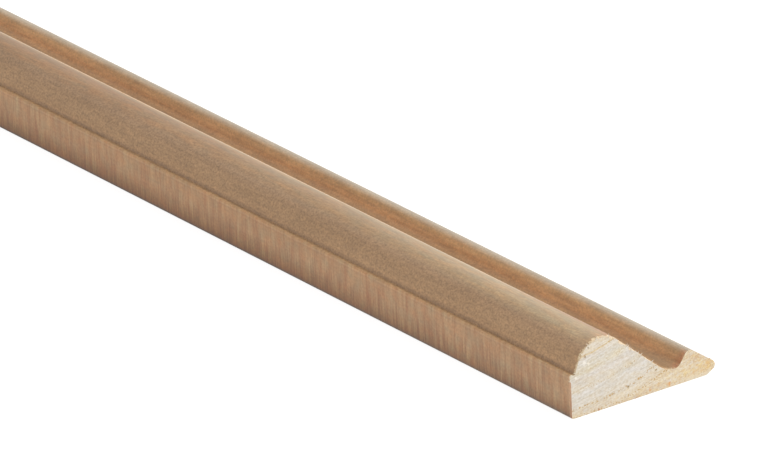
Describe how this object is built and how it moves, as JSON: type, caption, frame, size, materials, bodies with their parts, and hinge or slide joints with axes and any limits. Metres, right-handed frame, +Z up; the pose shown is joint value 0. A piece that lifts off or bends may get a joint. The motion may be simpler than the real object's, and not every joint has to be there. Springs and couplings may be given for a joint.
{
  "type": "base cap moulding",
  "caption": "Length of solid wood base cap moulding with a roll, cove and bead face, a thick flat seat edge and a thin rounded nose.",
  "frame": {"origin": "on the flat back, at the middle of the length and of the width", "axes": "+X along the length, towards the sawn end shown in the picture; +Y from the thick seat edge to the thin nose; +Z up off the back"},
  "size_m": [2.4384, 0.0348, 0.0153],
  "materials": {
    "bare_wood": "unfinished, machine planed and lightly sanded, with sawn ends"
  },
  "bodies": {
    "root": {"base_cap_moulding": "bare_wood"}
  },
  "joints": []
}
